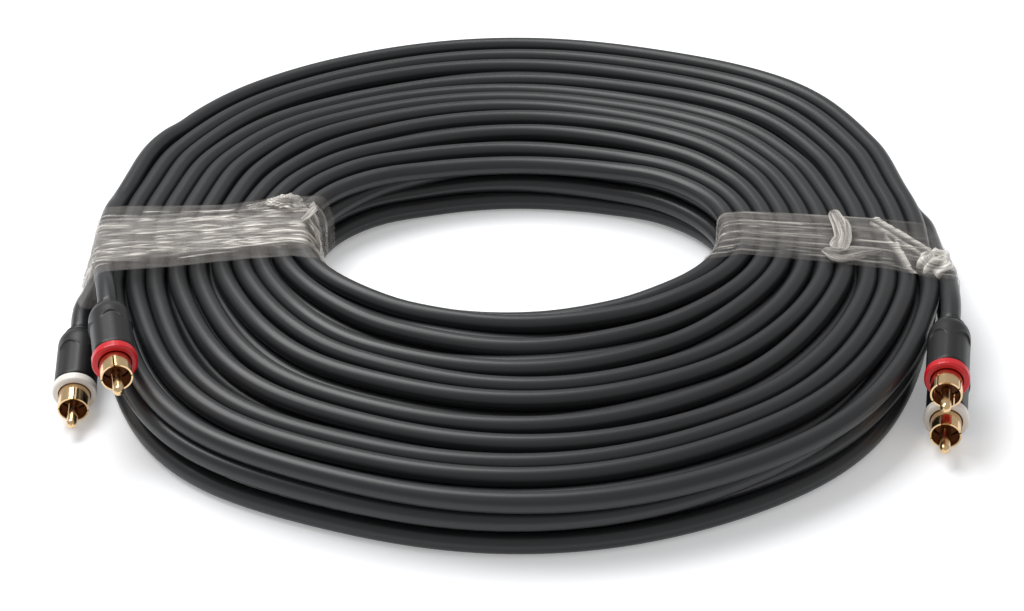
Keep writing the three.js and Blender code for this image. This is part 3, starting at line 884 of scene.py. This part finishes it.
def rolled(name, tie, spine, wide, high, seed, flutes=0.16, haze_and_highlight=0.6):
    """spine + (1 + f) (wide sin t across + high cos t upwards), a flattened roll of film.

    across lies flat, at right angles to the spine. f is a sum of sines of the turn and of the way
    along, so the roll has long twisted flutes.
    """
    generator = np.random.default_rng(seed)
    along, line = through(spine, ROLL_ROWS)
    line[2:-2] = (line[:-4] + line[1:-3] + line[2:-2] + line[3:-1] + line[4:]) / 5
    across = np.cross(np.gradient(line, axis=0), [0, 0, 1.0])
    across /= np.linalg.norm(across, axis=1, keepdims=True)
    turn = 2 * np.pi * np.arange(ROLL_COLUMNS)[None, :] / ROLL_COLUMNS
    flute = sum(np.sin(count * turn + generator.uniform(0.5, 2.5) * along[:, None]
                       + generator.uniform(0, 6)) for count in (3, 5, 7, 10)) / 2
    ends = np.clip(np.sin(np.pi * (along + 0.08) / (along[-1] + 0.16)), 0, 1)[:, None] ** 0.3
    size = (1 + flutes * flute) * ends
    wide, high = (np.interp(along, np.arange(len(spine)), table)[:, None] for table in (wide, high))
    points = (line[:, None] + (wide * size * np.sin(turn))[..., None] * across[:, None]
              + (high * size * np.cos(turn))[..., None] * np.array([0, 0, 1.0]))
    last = (ROLL_ROWS - 1) * ROLL_COLUMNS
    way = 1 if tie.side > 0 else -1
    caps = [range(ROLL_COLUMNS)[::-way], range(last, last + ROLL_COLUMNS)[::way]]
    uv = np.stack(np.broadcast_arrays(along[:, None] * 5, turn * 3), -1)
    quads = grid_faces(ROLL_ROWS, ROLL_COLUMNS, True)[:, ::way]
    piece = make_mesh(name, from_tie_frame(points, tie.side), quads, caps, uv=uv)
    # The flutes' crests are painted lighter: milky film with a painted highlight on each crest
    add_haze_and_highlight(piece, haze_and_highlight * (0.55 + 0.8 * smoothstep(flute, -0.8, 1.1)))
    return piece


def strip(name, tie, spine, across, seed, ripple=0.8, haze_and_highlight=0.45):
    """spine[i] + share * across[i] + ripple, a strip between two lines given by a few points each."""
    generator = np.random.default_rng(seed)
    along, line = through(spine, STRIP_ROWS)
    wide = through(across, STRIP_ROWS)[1]
    share = np.linspace(0, 1, STRIP_COLUMNS)
    phase = generator.uniform(0, 6, 2)
    wave = np.sin(share[None, :] * 9 + along[:, None] * 2.1 + phase[0]) + 0.6 * np.sin(
        share[None, :] * 17 - along[:, None] * 4.3 + phase[1])
    normal = np.cross(np.gradient(line, axis=0), wide)
    normal /= np.linalg.norm(normal, axis=1, keepdims=True) + 1e-9
    size = ripple * wave * np.sin(np.pi * np.clip(along / along[-1] + 0.15, 0, 1))[:, None]
    points = (line[:, None] + share[None, :, None] * wide[:, None]
              + size[..., None] * normal[:, None] * 0.4)
    uv = np.stack(np.broadcast_arrays(along[:, None] * 6, share[None, :] * 8), -1)
    quads = grid_faces(STRIP_ROWS, STRIP_COLUMNS, False)
    piece = make_mesh(name, from_tie_frame(points, tie.side), quads, uv=uv)
    # The ripple's crests are painted lighter: milky film with a painted highlight on each crest
    add_haze_and_highlight(piece, haze_and_highlight + 0.3 * smoothstep(wave, 0.2, 1.4))
    return thicken(piece)


print("points of a roll and a strip:", ROLL_ROWS * ROLL_COLUMNS, STRIP_ROWS * STRIP_COLUMNS)

# %% [markdown]
# ### Placing the loose ends
# Each loose end has its place in its tie's own frame, in millimetres: out from the coil's middle,
# beside the tie's line, and up. They were placed from the photograph.

# %% Loose ends
film_ends = [
    crumple("left_film_lump", left_tie, (73.5, 21, 23.8), (13, 9, 5), 3, 6, 0.42, 0.75),
    crumple("left_film_knot", left_tie, (81.5, 21.5, 23.2), (11, 6, 2.6), 4, 6, 0.42, 0.5),
    strip("left_film_loop", left_tie,
          [(70.5, 13.5, 22), (68, 12.5, 24.6), (65.6, 15, 26), (65, 19, 25.4), (67, 20.5, 22)],
          [(0.6, -3, 0), (-0.8, -3.6, 0.4), (-1.4, -3, 0), (-0.8, -3, -0.4), (0.6, -2.4, -0.4)],
          5, 0.3, 0.4),
    strip("left_film_flap", left_tie,
          [(66.2, 10, 22), (64.9, 4, 22.6), (64.5, -3, 22.4), (65.6, -9, 21.6)],
          [(-0.5, 1, -9), (-1.2, 0, -12), (-1.0, 0, -12), (-0.3, -1, -9)], 6, 0.5, 0.5),
    rolled("right_film_roll", right_tie,
           [(101, 20.5, 23.6), (102, 16, 24.4), (104, 10, 24.6), (105, 3, 24.4), (103.5, -3, 24)],
           [2.2, 1.9, 2.5, 2.6, 4.2], [1.2, 2.0, 1.8, 1.4, 1.0], 17, 0.26, 0.56),
    rolled("right_film_pleat", right_tie,
           [(99, -3, 23.4), (104, -6, 23.7), (109, -4, 23.7), (117, 0, 23.2)],
           [2.4, 3.4, 3.0, 1.6], [0.8, 1.3, 1.2, 0.6], 27, 0.3, 0.36),
    crumple("right_film_lump", right_tie, (134.5, -4.5, 21), (13, 16, 10), 8, 7, 0.34, 1.2),
    strip("right_film_flap", right_tie,
          [(64.6, -2, 21), (63.4, -7, 20), (63.2, -12, 18.6), (64.2, -17, 17)],
          [(-0.3, 0, -8), (-0.8, 0, -9), (-0.8, 0, -9), (-0.3, 0, -7)], 9, 0.5, 0.7),
    strip("right_film_tail", right_tie,
          [(134.5, -8, 23), (136.5, -14, 21), (138.5, -20, 18), (140, -26, 14)],
          [(4.5, -1, -8), (3.2, -1, -6.5), (1.8, -0.6, -4), (0.3, -0.2, -0.6)], 10, 0.8, 0.6),
]
for piece in film_ends:
    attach(piece, "root")
print("film ends:", len(film_ends))

# %% [markdown]
# ## Ends of the cords
# Each cord leaves at the back of its right plug, and its left plug is on its far end.

for cord in CORDS:
    right, left = CORD_ENDS[cord]
    path = cord_paths[cord]
    print(cord, "declared, from the", right, "plug to the", left, "plug")

# %% [markdown]
# ## Finishes
# Colours are written as a screen shows them, in sRGB hex, and one function turns them to the linear
# values that light is reckoned in. One more function adds a node with its settings and its links.

# %% Colour helpers
def linear(hex_colour):
    """The linear values of an sRGB colour such as '#1b1c1e'."""
    value = np.array([int(hex_colour[i:i + 2], 16) for i in (1, 3, 5)]) / 255
    value = np.where(value <= 0.04045, value / 12.92, ((value + 0.055) / 1.055) ** 2.4)
    return (*map(float, value), 1.0)


def node(material, kind, settings=(), links=()):
    """Adds a node of a kind, sets its inputs or properties, and links its inputs from other sockets.

    An input goes by its name, or by its number where two inputs share a name.
    """
    made = material.node_tree.nodes.new(kind)
    for name, value in dict(settings).items():
        if isinstance(name, int) or name in made.inputs:
            made.inputs[name].default_value = value
        else:
            setattr(made, name, value)
    for name, socket in dict(links).items():
        material.node_tree.links.new(socket, made.inputs[name])
    return made


def new_material(name):
    material = bpy.data.materials.new(name)
    material.use_nodes = True
    material.node_tree.nodes.clear()
    return material


def finish_with(material, shader):
    node(material, "ShaderNodeOutputMaterial", links={"Surface": shader.outputs[0]})
    return material


def paint(piece, material):
    piece.data.materials.clear()
    piece.data.materials.append(material)


print("mid grey in linear light:", round(linear("#808080")[0], 3))

# %% [markdown]
# ### Nodes that come back in every finish
# A noise sized in real millimetres, its range turned into a gloss, and a colour between two others are
# in nearly every finish here. Each is a few nodes, so each becomes a function.

# %% Shared node groups
COLOUR_A, COLOUR_B, COLOUR_OUT = 6, 7, 2


def noise(material, place, scale, detail, roughness=0.5):
    """Noise read at place times scale, one number for each axis."""
    mapped = node(material, "ShaderNodeMapping", {"Scale": scale}, {"Vector": place})
    settings = {"Scale": 1.0, "Detail": detail, "Roughness": roughness}
    made = node(material, "ShaderNodeTexNoise", settings, {"Vector": mapped.outputs[0]})
    return made.outputs["Fac"]


def object_noise(material, size, detail):
    """Noise whose lumps are some millimetres across, fixed to the object."""
    place = node(material, "ShaderNodeTexCoord").outputs["Object"]
    return noise(material, place, (1 / (size * MM),) * 3, detail)


def ranged(material, value, to_low, to_high, low=0.0, high=1.0):
    """value, with low to high stretched to to_low to to_high."""
    limits = {"From Min": low, "From Max": high, "To Min": to_low, "To Max": to_high}
    return node(material, "ShaderNodeMapRange", limits, {"Value": value}).outputs[0]


def mixed(material, share, first, second):
    """A colour that is a share of the way from the first to the second."""
    made = node(material, "ShaderNodeMix",
                {"data_type": "RGBA", COLOUR_A: linear(first), COLOUR_B: linear(second)}, {0: share})
    return made.outputs[COLOUR_OUT]


def relief(material, height, strength, metres, below=None):
    """Bump of some depth in metres, on top of another bump where one is given."""
    links = {"Height": height} | ({"Normal": below} if below is not None else {})
    settings = {"Strength": strength, "Distance": metres}
    return node(material, "ShaderNodeBump", settings, links).outputs[0]


print("shared node groups ready")

# %% [markdown]
# ## The jacket
# Each cord has a jacket of black polyvinyl chloride, pressed through a round die while it was soft. The
# die leaves faint lines along the cord, and the soft surface has a fine grain and a low, wide gloss. So
# one noise is stretched along the cord, from the tube's own uv map: its lines are 90 mm long and
# 0.7 mm apart, drawn coarser than real die lines so that they show. It changes the black and the gloss
# a little, and a finer noise gives the grain. The marking printed on the real jacket is left off.

# %% Jacket finish
DIE_LINE_LENGTH, DIE_LINES_ROUND = 90.0, 26.0
GRAIN = 0.45

# Extruded polyvinyl chloride, semi-matt and nearly black
jacket = new_material("black_extruded_pvc")
jacket_uv = node(jacket, "ShaderNodeUVMap", {"uv_map": "along_round"}).outputs[0]
die_lines = noise(jacket, jacket_uv, (1 / DIE_LINE_LENGTH, DIE_LINES_ROUND, 1), 2.0)
grain_relief = relief(jacket, object_noise(jacket, GRAIN, 1.0), 0.22, 0.00005)
jacket_shader = node(jacket, "ShaderNodeBsdfPrincipled", {"IOR": 1.47}, {
    "Base Color": mixed(jacket, die_lines, "#212224", "#28292b"),
    "Roughness": ranged(jacket, die_lines, 0.31, 0.43, 0.3, 0.7),
    "Normal": relief(jacket, die_lines, 0.3, 0.0001, grain_relief)})
finish_with(jacket, jacket_shader)
for cord in CORDS:
    paint(cord_pieces[cord], jacket)
print(jacket.name, "nodes:", len(jacket.node_tree.nodes))

# %% [markdown]
# ## Plug finishes
# The barrels are black PVC moulded over the metal. The mould was finely blasted, so the skin is matt
# and even. The rings are ABS, a harder plastic with a smoother, glossier skin, coloured all through.
# The insulator is brown polythene. All of them could be one colour with one gloss, but a real mould
# leaves a grain, so one function makes a plastic with a grain in its gloss and its relief.

# %% Moulded plastics
def moulded(name, colour, roughness, ior, grit, grain=0.25):
    """A moulded plastic: one colour, with the mould's grain, grit mm across, in gloss and relief."""
    material = new_material(name)
    blasted = object_noise(material, grit, 2.0)
    shader = node(material, "ShaderNodeBsdfPrincipled", {"Base Color": linear(colour), "IOR": ior}, {
        "Roughness": ranged(material, blasted, roughness - 0.06, roughness + 0.08),
        "Normal": relief(material, blasted, grain, 0.00005)})
    return finish_with(material, shader)


# Soft moulded polyvinyl chloride, hard glossy ABS in two colours, and waxy polythene
barrel_finish = moulded("black_moulded_pvc", "#141416", 0.42, 1.46, 0.35, 0.5)
ring_finishes = {"red": moulded("red_moulded_abs", "#cc0f1c", 0.3, 1.5, 0.6),
                 "white": moulded("white_moulded_abs", "#efe9e1", 0.3, 1.5, 0.6)}
insulator_finish = moulded("brown_insulator_polythene", "#6a3716", 0.4, 1.5, 0.5)
print("plastics:", 2 + len(ring_finishes))

# %% [markdown]
# ### Gold, and painting the plugs
# The shell and the pin are turned brass under a thin film of gold, which makes the highlights yellow,
# and polishing leaves cloudy changes in the gloss rather than scratches. Then each part of a plug gets
# the finish that its name asks for, and a ring takes red or white from the name of its end.

# %% Gold, and painting the plugs
PLATING_CLOUD = 0.9

# Turned brass under a thin plating of gold
gold = new_material("gold_plated_brass")
plating = object_noise(gold, PLATING_CLOUD, 3.0)
gold_shader = node(gold, "ShaderNodeBsdfPrincipled",
                   {"Base Color": linear("#e2c294"), "Metallic": 1.0},
                   {"Roughness": ranged(gold, plating, 0.1, 0.24),
                    "Normal": relief(gold, plating, 0.12, 0.00004)})
finish_with(gold, gold_shader)

PLUG_FINISHES = {"barrel": barrel_finish, "ground_shell": gold, "pin": gold,
                 "insulator": insulator_finish}
for end in ROUTES:
    for part in PLUG_PARTS:
        piece = barrels[end] if part == "barrel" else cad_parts[f"{end}_{part}"]
        paint(piece, PLUG_FINISHES.get(part) or ring_finishes[end.split("_")[1]])
    print(end, "painted")

# %% [markdown]
# ## Film finish
# Stretch film is linear low-density polythene, blown thin and pulled thinner. One layer is clear and
# glossy. Where layers bunch, each face scatters a little light, and the pile turns a warm, milky white.
# A true stack of glass sheets is slow and noisy to render. So the finish is one glossy plastic with an
# alpha: an attribute on the mesh says how much of it the eye sees, as milky white and as painted
# highlights on ridges, folds and glints, and a noise drawn out along the pull, some 16 mm long and
# 0.7 mm wide, breaks it into streaks.

# %% Film finish
STREAK_LENGTH, STREAK_WIDTH = 16.5, 0.7
CLEAREST, MOST_OPAQUE = 0.02, 0.94

# Stretched polythene film, clear in one layer and milky in many, with highlights painted into it
film_finish = new_material("clear_stretch_film")
haze_and_highlight = node(film_finish, "ShaderNodeAttribute", {"attribute_name": "haze_and_highlight"}).outputs["Fac"]
film_uv = node(film_finish, "ShaderNodeUVMap", {"uv_map": "along_round"}).outputs[0]
streaks = noise(film_finish, film_uv, (1 / STREAK_LENGTH, 1 / STREAK_WIDTH, 1), 3.0, 0.6)
stronger = ranged(film_finish, streaks, 0.45, 1.55, 0.35, 0.75)
product = node(film_finish, "ShaderNodeMath", {"operation": "MULTIPLY"}, {0: haze_and_highlight, 1: stronger})
milk_and_highlight = product.outputs[0]
# Lighter and more opaque where the attribute is high: milky film and painted highlights
film_shader = node(film_finish, "ShaderNodeBsdfPrincipled", {"Roughness": 0.24, "IOR": 1.5}, {
    "Base Color": mixed(film_finish, milk_and_highlight, "#b3aca6", "#f6f2ea"),
    "Alpha": ranged(film_finish, milk_and_highlight, CLEAREST, MOST_OPAQUE),
    "Normal": relief(film_finish, streaks, 0.5, 0.0004)})
finish_with(film_finish, film_shader)
for piece in [left_film, right_film, *film_ends]:
    paint(piece, film_finish)
print(film_finish.name, "pieces:", 2 + len(film_ends))

# %% [markdown]
# ## Table and light
# The object lies on a white table under one large soft lamp, behind it and to its left, in a white
# room. The camera sees the table a little brighter than the light makes it, so that it fades to white,
# and so do mirrors and clear film. The shadow stays, because the table is still a matt white surface.

# %% Table
TABLE_HALF = 3
TABLE_GLOW = 0.25

corners = [(-TABLE_HALF, -TABLE_HALF, 0), (TABLE_HALF, -TABLE_HALF, 0),
           (TABLE_HALF, TABLE_HALF, 0), (-TABLE_HALF, TABLE_HALF, 0)]
floor = make_mesh("floor", corners, [[0, 1, 2, 3]], smooth=False)
# Matt white paper, a little brighter to the camera than to the object
white_floor = new_material("white_table")
seen = node(white_floor, "ShaderNodeLightPath")
glow = node(white_floor, "ShaderNodeEmission", {"Color": (1, 1, 1, 1), "Strength": TABLE_GLOW})
matt = node(white_floor, "ShaderNodeBsdfDiffuse", {"Color": linear("#f2f3f5")}).outputs[0]
lit = node(white_floor, "ShaderNodeAddShader", links={0: glow.outputs[0], 1: matt})
rays = seen.outputs["Is Camera Ray"]
for kind in ("Is Glossy Ray", "Is Transmission Ray"):
    both = {0: rays, 1: seen.outputs[kind]}
    rays = node(white_floor, "ShaderNodeMath", {"operation": "MAXIMUM"}, both).outputs[0]
mix = node(white_floor, "ShaderNodeMixShader", links={0: rays, 1: matt, 2: lit.outputs[0]})
finish_with(white_floor, mix)
paint(floor, white_floor)
print("table width in metres:", 2 * TABLE_HALF)

# %% [markdown]
# ### World and lamp
# The white room is the world's own even light, and the lamp is one large area light. Several small
# lamps would also fill the shadows, but they would put several hard highlights on each cord.

# %% World and lamp
ROOM_LIGHT = 0.52
LAMP_PLACE, LAMP_WATTS, LAMP_SIZE = (-0.4, 0.36, 1.0), 12, (1.0, 0.6)

world = bpy.data.worlds.new("studio")
bpy.context.scene.world = world
world.use_nodes = True
background = world.node_tree.nodes["Background"]
background.inputs["Color"].default_value = (1, 1, 1, 1)
background.inputs["Strength"].default_value = ROOM_LIGHT

light_data = bpy.data.lights.new("overhead", "AREA")
light_data.shape = "RECTANGLE"
light_data.size, light_data.size_y = LAMP_SIZE
light_data.energy = LAMP_WATTS
overhead = bpy.data.objects.new("overhead", light_data)
overhead.location = LAMP_PLACE
overhead.rotation_euler = (-Vector(overhead.location)).to_track_quat("-Z", "Y").to_euler()
bpy.context.collection.objects.link(overhead)

bpy.context.scene.view_settings.view_transform = "Standard"
print("lamp height in metres:", LAMP_PLACE[2])

# %% [markdown]
# ## End

# %% End
print("scene ready")
